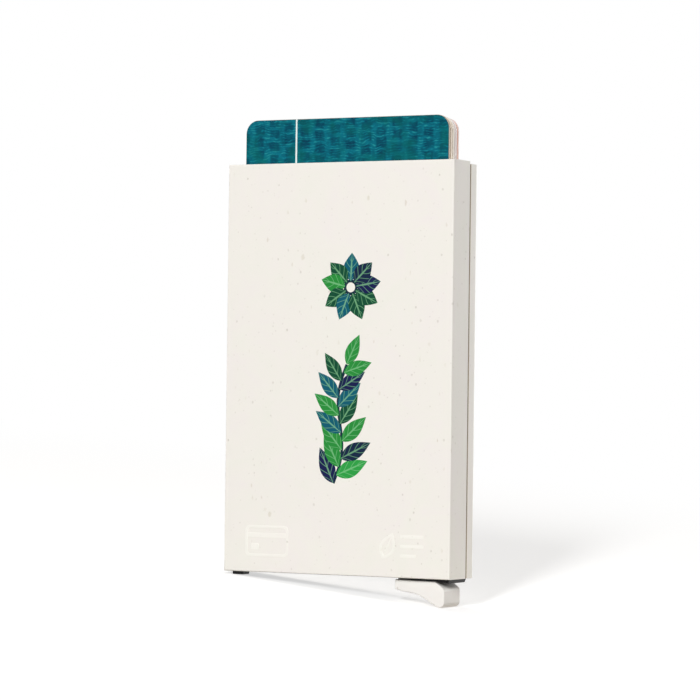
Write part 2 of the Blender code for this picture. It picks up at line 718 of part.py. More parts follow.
def build():
    clear_scene()
    straw = make_material("straw_plastic", (0.89, 0.86, 0.79), 0.55)
    black = make_material("black_nylon", (0.012, 0.012, 0.012), 0.5)
    acetal = make_material("black_acetal", (0.016, 0.016, 0.016), 0.35)
    shield = make_material("shield_aluminium", (0.78, 0.79, 0.8), 0.35, 1.0)
    felt = make_material("felt", (0.03, 0.03, 0.032), 0.95)
    spring = make_material("spring_steel", (0.6, 0.6, 0.61), 0.3, 1.0)
    steel = make_material("steel", (0.62, 0.62, 0.63), 0.3, 1.0)
    nylon = make_material("natural_nylon", (0.8, 0.79, 0.74), 0.4)
    card_colours = (
        ("card_teal", (0.004, 0.12, 0.17)),
        ("card_beige", (0.6, 0.5, 0.38)),
        ("card_cream", (0.72, 0.62, 0.5)),
        ("card_grey", (0.55, 0.48, 0.47)),
        ("card_salmon", (0.72, 0.5, 0.42)),
    )
    cards = [make_material(name, colour, 0.35) for name, colour in card_colours]

    make_front_shell(straw)
    make_rear_cover(straw)
    make_chassis(black)
    make_shields(shield)
    make_pads(felt)
    make_springs(spring)
    make_screws(steel)
    make_pin(steel)
    make_washers(nylon)
    pivot = add_empty("lever_pivot", (PIN_X, 0, PIN_Z), LEVER_SWING)
    make_lever_arm(acetal, pivot)
    make_lever_tab(straw, pivot)
    make_cards(cards)


build()
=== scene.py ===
import bpy
import bmesh
import json
from math import cos, pi, radians, sin
from mathutils import Matrix, Vector


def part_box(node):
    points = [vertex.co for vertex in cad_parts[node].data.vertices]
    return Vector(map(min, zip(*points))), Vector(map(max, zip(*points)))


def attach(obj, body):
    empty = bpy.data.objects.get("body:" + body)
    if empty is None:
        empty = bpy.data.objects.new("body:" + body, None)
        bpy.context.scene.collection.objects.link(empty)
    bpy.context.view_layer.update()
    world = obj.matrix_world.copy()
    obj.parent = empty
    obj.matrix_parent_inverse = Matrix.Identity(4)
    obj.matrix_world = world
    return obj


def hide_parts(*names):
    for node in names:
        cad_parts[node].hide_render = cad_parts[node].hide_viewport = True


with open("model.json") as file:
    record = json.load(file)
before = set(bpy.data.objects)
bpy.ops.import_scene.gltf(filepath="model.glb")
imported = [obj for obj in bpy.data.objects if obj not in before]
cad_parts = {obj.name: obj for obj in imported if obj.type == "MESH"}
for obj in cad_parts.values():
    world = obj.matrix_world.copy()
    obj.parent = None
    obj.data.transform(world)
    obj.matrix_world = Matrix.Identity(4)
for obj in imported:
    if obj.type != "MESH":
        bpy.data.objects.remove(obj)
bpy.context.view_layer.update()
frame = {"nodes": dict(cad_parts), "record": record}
mm = 0.001
halfCell = 0.5  # from the edge of a pattern's cell to its middle
fullRange = (0.0, 1.0)  # of a texture's value
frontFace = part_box("front_shell")[0].y
print("frame loaded")


# Small helpers

def linear(hexColour):
    # sRGB hex to the linear colour that the shaders take
    channels = [int(hexColour[at:at + 2], 16) / 255 for at in (0, 2, 4)]
    return tuple(c / 12.92 if c <= 0.04045 else ((c + 0.055) / 1.055) ** 2.4 for c in channels) + (1.0,)


def addNode(tree, kind, inputs=None, **settings):
    # inputs maps a socket to a value or to another node's output
    node = tree.nodes.new(kind)
    for name, value in settings.items():
        setattr(node, name, value)
    for key, value in (inputs or {}).items():
        if isinstance(value, bpy.types.NodeSocket):
            tree.links.new(value, node.inputs[key])
        else:
            node.inputs[key].default_value = value
    return node


def calc(tree, operation, *terms):
    return addNode(tree, "ShaderNodeMath", dict(enumerate(terms)), operation=operation).outputs[0]


def calcVector(tree, operation, *terms, result="Vector"):
    return addNode(tree, "ShaderNodeVectorMath", dict(enumerate(terms)), operation=operation).outputs[result]


def splitVector(tree, vector):
    return addNode(tree, "ShaderNodeSeparateXYZ", {"Vector": vector}).outputs


def buildVector(tree, **parts):
    return addNode(tree, "ShaderNodeCombineXYZ", parts).outputs[0]


def remap(tree, value, source, target=fullRange, easing="LINEAR"):
    ends = {"From Min": source[0], "From Max": source[1], "To Min": target[0], "To Max": target[1]}
    return addNode(tree, "ShaderNodeMapRange", {"Value": value, **ends}, interpolation_type=easing).outputs[0]


def mixColour(tree, share, first, second):
    inputs = {"Factor": share, "A": first, "B": second}
    return addNode(tree, "ShaderNodeMix", inputs, data_type="RGBA").outputs["Result"]


def ramp(tree, factor, positions, hexColours, interpolation="LINEAR"):
    node = addNode(tree, "ShaderNodeValToRGB", {"Fac": factor})
    node.color_ramp.interpolation = interpolation
    while len(node.color_ramp.elements) < len(hexColours):
        node.color_ramp.elements.new(0.5)
    for element, position, hexColour in zip(node.color_ramp.elements, positions, hexColours):
        element.position = position
        element.color = linear(hexColour)
    return node.outputs["Color"]


def noise(tree, place, size, detail, roughness=0.5, distortion=0.0):
    return addNode(tree, "ShaderNodeTexNoise", {
        "Vector": place,
        "Scale": 1 / size,
        "Detail": detail,
        "Roughness": roughness,
        "Distortion": distortion,
    }).outputs


def newMaterial(name):
    made = bpy.data.materials.new(name)
    made.use_nodes = True
    place = addNode(made.node_tree, "ShaderNodeTexCoord").outputs["Object"]
    return made, made.node_tree, made.node_tree.nodes["Principled BSDF"], place


def finish(tree, shader, look, colour, texture=None, height=None):
    # gives a shader its colour and its look's levels, with gloss and bump by a texture or by a height of its own
    tree.links.new(colour, shader.inputs["Base Color"])
    if "rough" in look:
        tree.links.new(remap(tree, texture, fullRange, look["rough"]), shader.inputs["Roughness"])
    if "bump" in look:
        strength, depth = look["bump"]
        inputs = {"Height": texture if height is None else height, "Strength": strength, "Distance": depth}
        tree.links.new(addNode(tree, "ShaderNodeBump", inputs).outputs[0], shader.inputs["Normal"])
    for name, level in look["levels"].items():
        shader.inputs[name].default_value = level


def newTree(name, inputs):
    tree = bpy.data.node_groups.new(name, "GeometryNodeTree")
    for label, kind in inputs.items():
        tree.interface.new_socket(label, in_out="INPUT", socket_type="NodeSocket" + kind)
    tree.interface.new_socket("Geometry", in_out="OUTPUT", socket_type="NodeSocketGeometry")
    return tree, addNode(tree, "NodeGroupInput").outputs


def join(tree, *parts):
    node = addNode(tree, "GeometryNodeJoinGeometry")
    for part in parts:
        tree.links.new(part, node.inputs[0])
    return node.outputs[0]


def weld(tree, geometry, distance=0.001 * mm):
    return addNode(tree, "GeometryNodeMergeByDistance", {"Geometry": geometry, "Distance": distance}).outputs[0]


def drawOut(tree, flat, thickness):
    # a flat form, drawn out to a closed solid
    drawn = addNode(
        tree, "GeometryNodeExtrudeMesh", {"Mesh": flat, "Offset Scale": thickness, "Individual": False}
    )
    back = addNode(tree, "GeometryNodeFlipFaces", {"Mesh": flat})
    return weld(tree, join(tree, drawn.outputs["Mesh"], back.outputs[0]))


def closeTree(tree, geometry, material):
    # the last nodes of a tree: its material and its output
    finished = addNode(tree, "GeometryNodeSetMaterial", {"Geometry": geometry, "Material": material})
    addNode(tree, "NodeGroupOutput", {0: finished.outputs[0]})
    return tree


def evaluated(holder, name):
    # the plain mesh that an object's modifiers make, and the object goes
    depsgraph = bpy.context.evaluated_depsgraph_get()
    mesh = bpy.data.meshes.new_from_object(
        holder.evaluated_get(depsgraph), preserve_all_data_layers=True, depsgraph=depsgraph
    )
    mesh.name = name
    bpy.data.objects.remove(holder)
    return mesh


def addObject(name, data):
    made = bpy.data.objects.new(name, data)
    bpy.context.scene.collection.objects.link(made)
    return made


def growPiece(name, tree, base, values):
    # runs a tree with its inputs set by name
    holder = addObject(name + "Source", base)
    modifier = holder.modifiers.new("grow", "NODES")
    modifier.node_group = tree
    for item in tree.interface.items_tree:
        if item.item_type == "SOCKET" and item.in_out == "INPUT" and item.name in values:
            modifier[item.identifier] = values[item.name]
    return evaluated(holder, name)


rounding = {
    "weld": 0.0005 * mm,
    "flat": radians(0.4),  # edges flatter than this are dissolved
    "sharp": radians(35),  # edges sharper than this are rounded
    "segments": 2,
    "shadedSharp": radians(50),
    "faceWeight": 100,
}


def softenEdges(mesh, width, segments=rounding["segments"]):
    # rounds the sharp edges of a closed mesh; large faces keep the shading flat, and only the roundings turn it
    work = bmesh.new()
    work.from_mesh(mesh)
    bmesh.ops.remove_doubles(work, verts=work.verts, dist=rounding["weld"])
    bmesh.ops.dissolve_limit(work, angle_limit=rounding["flat"], verts=work.verts, edges=work.edges)
    sharp = [edge for edge in work.edges if edge.is_manifold and edge.calc_face_angle(0) > rounding["sharp"]]
    bmesh.ops.bevel(
        work, geom=sharp, offset=width, segments=segments, profile=0.5, affect="EDGES", clamp_overlap=True
    )
    work.to_mesh(mesh)
    work.free()
    mesh.shade_smooth()
    mesh.set_sharp_from_angle(angle=rounding["shadedSharp"])
    holder = addObject(mesh.name + "Source", mesh)
    modifier = holder.modifiers.new("weigh", "WEIGHTED_NORMAL")
    modifier.mode = "FACE_AREA"
    modifier.weight = rounding["faceWeight"]
    modifier.keep_sharp = True
    return evaluated(holder, mesh.name)


def addPiece(name, mesh, body, material):
    piece = addObject(name, mesh)
    mesh.materials.clear()
    mesh.materials.append(material)
    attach(piece, body)
    return piece


# Camera, where the case's corners and edges in the photo put it

viewpoint = {
    "place": Vector((388.5, -686.65, 41.7)) * mm,
    "turn": radians(29.5),
    "tilt": radians(0.752),
    "roll": radians(0.704),
    "lens": 174.65,
    "sensor": 36,
    "clip": (0.01, 20),
}


def addCamera():
    turn, tilt, roll = viewpoint["turn"], viewpoint["tilt"], viewpoint["roll"]
    forward = Vector((-sin(turn) * cos(tilt), cos(turn) * cos(tilt), sin(tilt)))
    level = Vector((cos(turn), sin(turn), 0))
    above = level.cross(forward)
    right = level * cos(roll) + above * sin(roll)
    up = above * cos(roll) - level * sin(roll)
    camera = addObject("photoCamera", bpy.data.cameras.new("photoCamera"))
    camera.data.lens = viewpoint["lens"]
    camera.data.sensor_width = viewpoint["sensor"]
    camera.data.clip_start, camera.data.clip_end = viewpoint["clip"]
    turned = Matrix((right, up, -forward)).transposed().to_4x4()
    camera.matrix_world = Matrix.Translation(viewpoint["place"]) @ turned
    bpy.context.scene.camera = camera


addCamera()
print("camera placed")


# Materials

straw = {
    "shell": ("f1ece9", "f1eee8", "efeee6"),  # from the warmest to the palest of the ground
    "tab": ("eeebe8", "efedea", "eeeee9"),
    # painted highlight: the raised marks' ground is paler than the shell's, standing in for the light on their
    # raised faces
    "raised": ("f6f2ed", "f6f4ee", "f4f4ec"),
    "groundStops": (0.3, 0.52, 0.75),
    "cloud": 11 * mm,
    "husk": "cdc6b2",
    "fibre": "a8926e",
    "speck": "8b7d6c",
    # for each layer: the flecks' spacing, size, stretch and turn, the share of cells with one, its tone and strength
    "layers": (
        (4.6 * mm, 0.6 * mm, 0.7, (0.4, 0.9, 0.2), 0.55, "husk", 0.42),
        (3.4 * mm, 0.36 * mm, 0.4, (0.3, 0.5, 0.0), 0.5, "fibre", 0.24),
        (3.4 * mm, 0.36 * mm, 0.4, (0.2, 1.7, 0.6), 0.5, "fibre", 0.3),
        (3.4 * mm, 0.32 * mm, 0.4, (1.2, 0.9, 2.3), 0.45, "fibre", 0.22),
        (1.9 * mm, 0.36 * mm, 0.8, (0.0, 0.3, 1.1), 0.5, "speck", 0.3),
        (1.1 * mm, 0.26 * mm, 1.0, (0.7, 0.2, 0.5), 0.5, "speck", 0.16),
    ),
    "wobbleSize": 0.2,  # in cells, as wobble is
    "wobble": (0.16, 0.16, 0.16),
    "leastSize": 0.45,  # a cell's smallest fleck, as a share of the largest
    "softEdge": 0.4,
    "leastStrength": 0.35,
    # painted shade: a brown for the faces inside the parting line, darker than the ground, standing in for the shade
    # in the gap
    "parting": "a3927e",
    "partingMiddle": 2.15 * mm,  # between the front shell's rear edge and the rear cover's front edge
    "partingReach": 0.3 * mm,
    "grain": 0.35 * mm,
    "fleckRelief": 0.35,
    "rough": (0.46, 0.64),
    "bump": (0.12, 0.05 * mm),
    "levels": {"IOR": 1.49, "Specular IOR Level": 0.35},
}


def strawFlecks(tree, place, spacing, size, stretch, turn, keep):
    # Voronoi cells, each with at most one fleck: a stretched blob round the cell's point, in a share of the cells
    turned = addNode(
        tree, "ShaderNodeMapping",
        {"Vector": place, "Rotation": turn, "Scale": (1 / spacing, 1 / spacing, stretch / spacing)},
    ).outputs[0]
    wobble = noise(tree, turned, straw["wobbleSize"], detail=2.0, roughness=0.6)["Color"]
    moved = calcVector(tree, "MULTIPLY_ADD", wobble, straw["wobble"], turned)
    cells = addNode(tree, "ShaderNodeTexVoronoi", {"Vector": moved, "Scale": 1.0, "Randomness": 1.0}).outputs
    chance = addNode(tree, "ShaderNodeSeparateColor", {"Color": cells["Color"]}).outputs
    kept = calc(tree, "LESS_THAN", chance[0], keep)
    radius = size / spacing
    reach = remap(tree, chance[1], fullRange, (radius * straw["leastSize"], radius))
    inside = calc(tree, "SUBTRACT", reach, cells["Distance"])
    soft = remap(tree, inside, (0.0, radius * straw["softEdge"]))
    strength = remap(tree, chance[2], fullRange, (straw["leastStrength"], 1.0))
    return calc(tree, "MULTIPLY", calc(tree, "MULTIPLY", soft, kept), strength)


def strawComposite(name, ground, paintsGapShade):
    # Polypropylene filled with ground straw, injection moulded in a matt mould:
    # a cream ground with faint clouds, tan husk bits, short brown fibres, tiny specks and a dull fine grain
    material, tree, shader, place = newMaterial(name)
    clouds = noise(tree, place, straw["cloud"], detail=5.0, roughness=0.65, distortion=0.8)["Fac"]
    colour = ramp(tree, clouds, straw["groundStops"], straw[ground])
    flecks = 0.0
    for spacing, size, stretch, turn, keep, tone, depth in straw["layers"]:
        share = calc(tree, "MULTIPLY", strawFlecks(tree, place, spacing, size, stretch, turn, keep), depth)
        colour = mixColour(tree, share, colour, linear(straw[tone]))
        flecks = calc(tree, "ADD", flecks, share)
    if paintsGapShade:
        # painted shade: the narrow faces inside the parting line are browned, standing in for the shade in the gap
        depth = splitVector(tree, place)["Y"]
        gapShadeMask = calc(tree, "COMPARE", depth, straw["partingMiddle"], straw["partingReach"])
        colour = mixColour(tree, gapShadeMask, colour, linear(straw["parting"]))
    grain = noise(tree, place, straw["grain"], detail=3.0, roughness=0.6)["Fac"]
    relief = calc(tree, "MULTIPLY_ADD", flecks, straw["fleckRelief"], grain)
    finish(tree, shader, straw, colour, grain, relief)
    return material


blackPlastic = {
    "bloom": 6 * mm,
    "bloomStops": (0.35, 0.7),
    "levels": {"IOR": 1.53, "Specular IOR Level": 0.15},
}

glassFilledNylon = {
    "tones": ("141414", "1f1f20"), "grain": 0.3 * mm, "rough": (0.42, 0.6), "bump": (0.25, 0.04 * mm)
}

blackAcetal = {
    "tones": ("121213", "1c1c1e"), "grain": 0.5 * mm, "rough": (0.3, 0.42), "bump": (0.12, 0.04 * mm)
}


def mouldedBlack(name, resin):
    # Black engineering plastic, moulded: near black with a faint grey bloom and a fine spark-eroded grain
    look = {**blackPlastic, **resin}
    material, tree, shader, place = newMaterial(name)
    bloom = noise(tree, place, look["bloom"], detail=3.0)["Fac"]
    colour = ramp(tree, bloom, look["bloomStops"], look["tones"])
    grain = noise(tree, place, look["grain"], detail=3.0, roughness=0.65)["Fac"]
    finish(tree, shader, look, colour, grain)
    return material


drawnMetal = {
    "lineStops": (0.3, 0.7),
    "bump": (0.1, 0.02 * mm),
    "levels": {"Metallic": 1.0},
}

# stretch is how closely the lines change along each axis, as a share of the change across them
aluminiumSheet = {
    "tones": ("c9cbce", "dcdee0"), "lineSpacing": 0.25 * mm, "stretch": (1.0, 1.0, 0.04), "rough": (0.28, 0.42)
}

springSteel = {
    "tones": ("9fa1a4", "b9bbbe"), "lineSpacing": 0.2 * mm, "stretch": (1.0, 1.0, 0.05), "rough": (0.22, 0.36)
}

turnedSteel = {
    "tones": ("a9abad", "c4c6c8"), "lineSpacing": 0.15 * mm, "stretch": (0.3, 1.0, 0.3), "rough": (0.2, 0.34)
}


def brushedMetal(name, metal):
    # Rolled or drawn metal: fine lines along its working direction that vary tone and gloss
    look = {**drawnMetal, **metal}
    material, tree, shader, place = newMaterial(name)
    scale = tuple(share / look["lineSpacing"] for share in look["stretch"])
    drawn = addNode(tree, "ShaderNodeMapping", {"Vector": place, "Scale": scale}).outputs[0]
    lines = noise(tree, drawn, 1.0, detail=4.0)["Fac"]
    finish(tree, shader, look, ramp(tree, lines, look["lineStops"], look["tones"]), lines)
    return material


felt = {
    "tones": ("1d1d20", "3b3b40"),
    "stops": (0.3, 0.7),
    "fibre": 0.3 * mm,
    "bump": (0.6, 0.15 * mm),
    "levels": {"Roughness": 0.95, "Sheen Weight": 0.4},
}


def woolFelt():
    # Dense black felt, needled and die cut: matted fibres that scatter light at the rim
    material, tree, shader, place = newMaterial("woolFelt")
    fibres = noise(tree, place, felt["fibre"], detail=5.0, distortion=1.5)["Fac"]
    finish(tree, shader, felt, ramp(tree, fibres, felt["stops"], felt["tones"]), fibres)
    return material


nylon = {
    "tones": ("dfdccf", "ece9de"),
    "stops": (0.3, 0.7),
    "milk": 0.8 * mm,
    "levels": {"Roughness": 0.4, "Subsurface Weight": 0.15, "Subsurface Scale": 0.3 * mm},
}


def naturalNylon():
    # Unpigmented nylon, turned: milky and faintly translucent
    material, tree, shader, place = newMaterial("naturalNylon")
    milk = noise(tree, place, nylon["milk"], detail=3.0)["Fac"]
    finish(tree, shader, nylon, ramp(tree, milk, nylon["stops"], nylon["tones"]))
    return material


# the shells' straw carries the painted shade in the parting line
strawMoulding = strawComposite("strawComposite", "shell", True)
tabMoulding = strawComposite("strawCompositeTab", "tab", False)
# a paler copy of the straw for the raised marks, a painted highlight
raisedHighlightMoulding = strawComposite("strawCompositeRaisedHighlight", "raised", False)
chassisNylon = mouldedBlack("glassFilledNylon", glassFilledNylon)
leverAcetal = mouldedBlack("blackAcetal", blackAcetal)
shieldSheet = brushedMetal("rolledAluminium", aluminiumSheet)
springStrip = brushedMetal("rolledSpringSteel", springSteel)
brightSteel = brushedMetal("turnedSteel", turnedSteel)
feltStrip = woolFelt()
washerNylon = naturalNylon()
print("materials made")


# Cards: laminated blanks, each with a print on its faces and a pale core in its edge

cardForm = {
    "cornerRadius": 3.18 * mm,
    "cornerSteps": 14,
    "edgeRound": 0.09 * mm,
    "coreShare": 0.3,  # half the core's thickness, as a share of the card's
    "faceTilt": 0.9,  # how squarely a surface looks forward or back to be a face
    "cloud": 9 * mm,
    "cloudStops": (0.35, 0.65),
    "ripple": 1.1 * mm,
    "rough": (0.34, 0.46),
    "bump": (0.05, 0.02 * mm),
    "levels": {"IOR": 1.52, "Specular IOR Level": 0.06},  # a matt laminate, so the print keeps its depth
}

cardLooks = {
    "card_1": {"slot": "card_teal", "edge": "ab9b8b", "core": "d3c4b3", "face": "teal"},
    "card_2": {"slot": "card_beige", "edge": "f8e6d4", "core": "fdf3e6", "face": ("cbb89c", "c0ab8c")},
    "card_3": {"slot": "card_cream", "edge": "faf0e4", "core": "fefaf4", "face": ("ded3c0", "d3c6b0")},
    "card_4": {"slot": "card_grey", "edge": "f6e8e6", "core": "fefaf9", "face": ("c3b5b8", "b6a6aa")},
    "card_5": {"slot": "card_salmon", "edge": "f4c4b6", "core": "fbe9e3", "face": ("e0ab98", "d39a86")},
}

tealPrint = {
    "tones": ("033b52", "055669", "0a7184", "238990"),  # from the blocks to the threads
    "toneStops": (0.15, 0.38, 0.6, 0.8),
    "green": "04605c",
    "greenSize": 4.5 * mm,
    "greenFrom": (0.45, 0.65),
    "greenShare": (0.0, 0.55),
    "wanderSize": 3.5 * mm,
    "wander": (1.6 * mm, 0.0, 1.3 * mm),
    "cellWide": 4.1 * mm,
    "cellHigh": 2.9 * mm,
    "columnStep": 0.41,  # how far each column is set off from the one before, in cells
    "blockAcross": (0.14, 0.26),
    "blockUp": (0.08, 0.2),
    "blockShare": -0.2,
    "threadSpacing": 0.66 * mm,
    "threadWave": 2.2 * mm,
    "threadEdge": (0.26, 0.4),
    "threadShare": 0.3,
    "dashSize": 1.1 * mm,
    "dashEdge": (0.38, 0.62),
    "patchSize": 2.6 * mm,
    "patchShare": 0.75,
    "patchBase": 0.1,
    "hairline": -13.3 * mm,
    "hairlineWidth": 0.42 * mm,
    "hairlineTone": "e9f3f2",
}

stripe = {"inner": -10.4 * mm, "outer": -23.1 * mm, "tone": "26211f"}  # the magnetic stripe on the last card's back


def cardBlankTree():
    # A rounded rectangle, filled and drawn out to the card's thickness
    tree, given = newTree("cardBlank", {
        "Width": "Float",
        "Height": "Float",
        "Thickness": "Float",
        "Corner Radius": "Float",
        "Corner Steps": "Int",
        "Middle": "Vector",
        "Material": "Material",
    })
    outline = addNode(
        tree, "GeometryNodeCurvePrimitiveQuadrilateral", {"Width": given["Width"], "Height": given["Height"]}
    )
    cornered = addNode(
        tree, "GeometryNodeFilletCurve",
        {"Curve": outline.outputs[0], "Radius": given["Corner Radius"], "Count": given["Corner Steps"]},
        mode="POLY",
    )
    filled = addNode(tree, "GeometryNodeFillCurve", {"Curve": cornered.outputs[0]}, mode="NGONS").outputs[0]
    # upright: the outline's plane turns to face -Y, and half the thickness lies each side of the middle
    shift = buildVector(tree, Y=calc(tree, "MULTIPLY", given["Thickness"], 0.5))
    stood = addNode(tree, "GeometryNodeTransform", {
        "Geometry": drawOut(tree, filled, given["Thickness"]),
        "Rotation": (radians(90), 0, 0),
        "Translation": calcVector(tree, "ADD", given["Middle"], shift),
    })
    return closeTree(tree, stood.outputs[0], given["Material"])


def latticePrint(tree, place):
    # Staggered dark blocks between paler uprights, with fine broken threads across, in teals
    wander = noise(tree, place, tealPrint["wanderSize"], detail=2.0)
    shift = calcVector(tree, "MULTIPLY_ADD", wander["Color"], tealPrint["wander"], place)
    cells = splitVector(tree, shift)
    column = calc(tree, "DIVIDE", cells["X"], tealPrint["cellWide"])
    row = calc(tree, "DIVIDE", cells["Z"], tealPrint["cellHigh"])
    stepped = calc(tree, "MULTIPLY_ADD", calc(tree, "FLOOR", column), tealPrint["columnStep"], row)
    # how near each point is to the middle of its block, across and up
    inColumn = remap(tree, calc(tree, "PINGPONG", column, halfCell), tealPrint["blockAcross"])
    inRow = remap(tree, calc(tree, "PINGPONG", stepped, halfCell), tealPrint["blockUp"])
    block = calc(tree, "MULTIPLY", inColumn, inRow)
    # threads run across in closer rows with a slight wave, broken into dashes
    rowShift = calc(tree, "MULTIPLY_ADD", wander["Fac"], tealPrint["threadWave"], cells["Z"])
    threadRow = calc(tree, "DIVIDE", rowShift, tealPrint["threadSpacing"])
    onThread = remap(tree, calc(tree, "PINGPONG", threadRow, halfCell), tealPrint["threadEdge"])
    kept = remap(tree, noise(tree, shift, tealPrint["dashSize"], detail=2.0)["Fac"], tealPrint["dashEdge"])
    threads = calc(tree, "MULTIPLY", onThread, kept)
    patches = noise(tree, place, tealPrint["patchSize"], detail=3.0, roughness=0.6)["Fac"]
    clouded = calc(tree, "MULTIPLY_ADD", patches, tealPrint["patchShare"], tealPrint["patchBase"])
    woven = calc(tree, "MULTIPLY_ADD", threads, tealPrint["threadShare"], clouded)
    tone = calc(tree, "MULTIPLY_ADD", block, tealPrint["blockShare"], woven)
    blue = ramp(tree, tone, tealPrint["toneStops"], tealPrint["tones"])
    # some patches of the ground lean to green
    drift = noise(tree, place, tealPrint["greenSize"], detail=2.0)["Fac"]
    green = remap(tree, drift, tealPrint["greenFrom"], tealPrint["greenShare"])
    return mixColour(tree, green, blue, linear(tealPrint["green"]))


def laminatedCard(node, look, middle, thickness):
    # Laminated PVC, pressed and punched: a print on each face, and in the edge a core between thin skins
    material, tree, shader, place = newMaterial("laminatedPvc" + node[-1])
    spot = splitVector(tree, place)
    if look["face"] == "teal":
        onLine = calc(tree, "COMPARE", spot["X"], tealPrint["hairline"], tealPrint["hairlineWidth"] / 2)
        face = mixColour(tree, onLine, latticePrint(tree, place), linear(tealPrint["hairlineTone"]))
    else:
        clouds = noise(tree, place, cardForm["cloud"], detail=3.0)["Fac"]
        face = ramp(tree, clouds, cardForm["cloudStops"], look["face"])
    if node == "card_5":
        centre, halfWidth = (stripe["inner"] + stripe["outer"]) / 2, (stripe["inner"] - stripe["outer"]) / 2
        onStripe = calc(tree, "COMPARE", spot["X"], centre, halfWidth)
        face = mixColour(tree, onStripe, face, linear(stripe["tone"]))
    inCore = calc(tree, "COMPARE", spot["Y"], middle, thickness * cardForm["coreShare"])
    edge = mixColour(tree, inCore, linear(look["edge"]), linear(look["core"]))
    facing = splitVector(tree, addNode(tree, "ShaderNodeTexCoord").outputs["Normal"])["Y"]
    onFace = calc(tree, "GREATER_THAN", calc(tree, "ABSOLUTE", facing), cardForm["faceTilt"])
    ripple = noise(tree, place, cardForm["ripple"], detail=2.0)["Fac"]
    finish(tree, shader, cardForm, mixColour(tree, onFace, edge, face), ripple)
    return material


def addCards():
    tree = cardBlankTree()
    bodies = frame["record"]["behaviour"]["bodies"]
    for node, look in cardLooks.items():
        low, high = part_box(node)
        middle, size = (low + high) / 2, high - low
        material = laminatedCard(node, look, middle.y, size.y)
        mesh = growPiece(node + "_laminate", tree, bpy.data.meshes.new("empty"), {
            "Width": size.x,
            "Height": size.z,
            "Thickness": size.y,
            "Corner Radius": cardForm["cornerRadius"],
            "Corner Steps": cardForm["cornerSteps"],
            "Middle": middle,
            "Material": material,
        })
        mesh = softenEdges(mesh, cardForm["edgeRound"])
        body = next(name for name, members in bodies.items() if node in members)
        piece = addPiece(node + "_laminate", mesh, body, material)
        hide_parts(node)


addCards()
print("cards made")


# Shells, chassis and lever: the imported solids' own forms, welded, with their moulded edges softened

moulded = {
    "front_shell": ("frontShellMoulding", "case", strawMoulding, "straw_plastic", 0.1 * mm),
    "rear_cover": ("rearCoverMoulding", "case", strawMoulding, "straw_plastic", 0.1 * mm),
    "chassis": ("chassisMoulding", "case", chassisNylon, "black_nylon", 0.06 * mm),
    "lever_arm": ("leverArmMoulding", "lever", leverAcetal, "black_acetal", 0.05 * mm),
    "lever_tab": ("leverTabMoulding", "lever", tabMoulding, "straw_plastic", 0.05 * mm),
}


def addMouldings():
    for node, (name, body, material, slotName, edge) in moulded.items():
        mesh = frame["nodes"][node].data.copy()
        mesh.name = name
        piece = addPiece(name, softenEdges(mesh, edge), body, material)
        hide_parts(node)


addMouldings()
print("mouldings made")


# Print on the front: a sprig with a round of leaves above it, in raised ink

leafPrint = {
    "inkThickness": 0.03 * mm,
    "lay": 0.005 * mm,  # how far the ink's back lies inside the surface it grips
    "roundMiddle": Vector((3.4, 0.0, 66.4)) * mm,
    "roundRadius": 1.5 * mm,
    "roundSteps": 24,
    "roundLeaves": 9,
    "roundLeafLength": 6.5 * mm,
    "roundLeafWidth": 4.3 * mm,
    "roundSeed": 4,
    "stemFoot": Vector((-0.6, 0.0, 21.2)) * mm,
    "stemTip": Vector((2.6, 0.0, 48.6)) * mm,
    "stemSway": 1.3 * mm,
    "stemSteps": 16,
    "stemWidth": 0.75 * mm,
    "stemSides": 10,
    "sprigLeaves": 15,
    "sprigLeafLength": 9.0 * mm,
    "sprigLeafWidth": 4.0 * mm,
    "sprigLeafAngle": radians(48),
    "sprigTipShare": 0.85,
    "sprigSeed": 11,
    "bladeRows": 15,
    "bladeColumns": 7,
    "bladeFullness": 0.8,  # under 1, the blade is widest near its foot
    "angleWaver": 0.1,
    "leafStack": 0.002 * mm,  # each leaf lies this far in front of the one before
    "lastLeaf": 1.5,  # the count less this lies between the last two leaves' numbers
    "leafTones": (0.02, 0.98),
    "inks": ("0d2b3a", "0f4a33", "1f7a3f", "2f9e46", "141a4a", "0e5a6e", "2a8c3c", "10233f"),
    "stemTone": 0.01,
    "vein": "8fd39b",
    "veinShare": 0.55,
    "veinSlant": -0.28,
    "veinRows": 9.0,
    "sideVeinEdge": (0.16, 0.04),
    "midribEdge": (0.13, 0.05),
    "film": 0.25 * mm,
    "rough": (0.3, 0.45),
    "bump": (0.08, 0.02 * mm),
    "levels": {"IOR": 1.5, "Specular IOR Level": 0.12},
}


def storeValue(tree, geometry, name, value, domain="POINT"):
    inputs = {"Geometry": geometry, "Name": name, "Value": value}
    return addNode(
        tree, "GeometryNodeStoreNamedAttribute", inputs, data_type="FLOAT", domain=domain
    ).outputs[0]


def leafBlade(tree, given):
    # a grid whose rows run up the leaf, pulled to points at both ends and drawn out
    grid = addNode(tree, "GeometryNodeMeshGrid", {
        "Size X": 1.0,
        "Size Y": 2.0,
        "Vertices X": leafPrint["bladeRows"],
        "Vertices Y": leafPrint["bladeColumns"],
    }).outputs["Mesh"]
    spot = splitVector(tree, addNode(tree, "GeometryNodeInputPosition").outputs[0])
    along = calc(tree, "ADD", spot["X"], 0.5)
    marked = storeValue(tree, storeValue(tree, grid, "leafAlong", along), "leafAcross", spot["Y"])
    turned = calc(tree, "MULTIPLY", calc(tree, "POWER", along, leafPrint["bladeFullness"]), pi)
    reach = calc(tree, "MULTIPLY", calc(tree, "MULTIPLY", given["Leaf Width"], -0.5), spot["Y"])
    side = calc(tree, "MULTIPLY", reach, calc(tree, "SINE", turned))
    height = calc(tree, "MULTIPLY", along, given["Leaf Length"])
    shaped = addNode(
        tree, "GeometryNodeSetPosition", {"Geometry": marked, "Position": buildVector(tree, X=side, Z=height)}
    )
    return drawOut(tree, weld(tree, shaped.outputs[0]), given["Ink Thickness"])


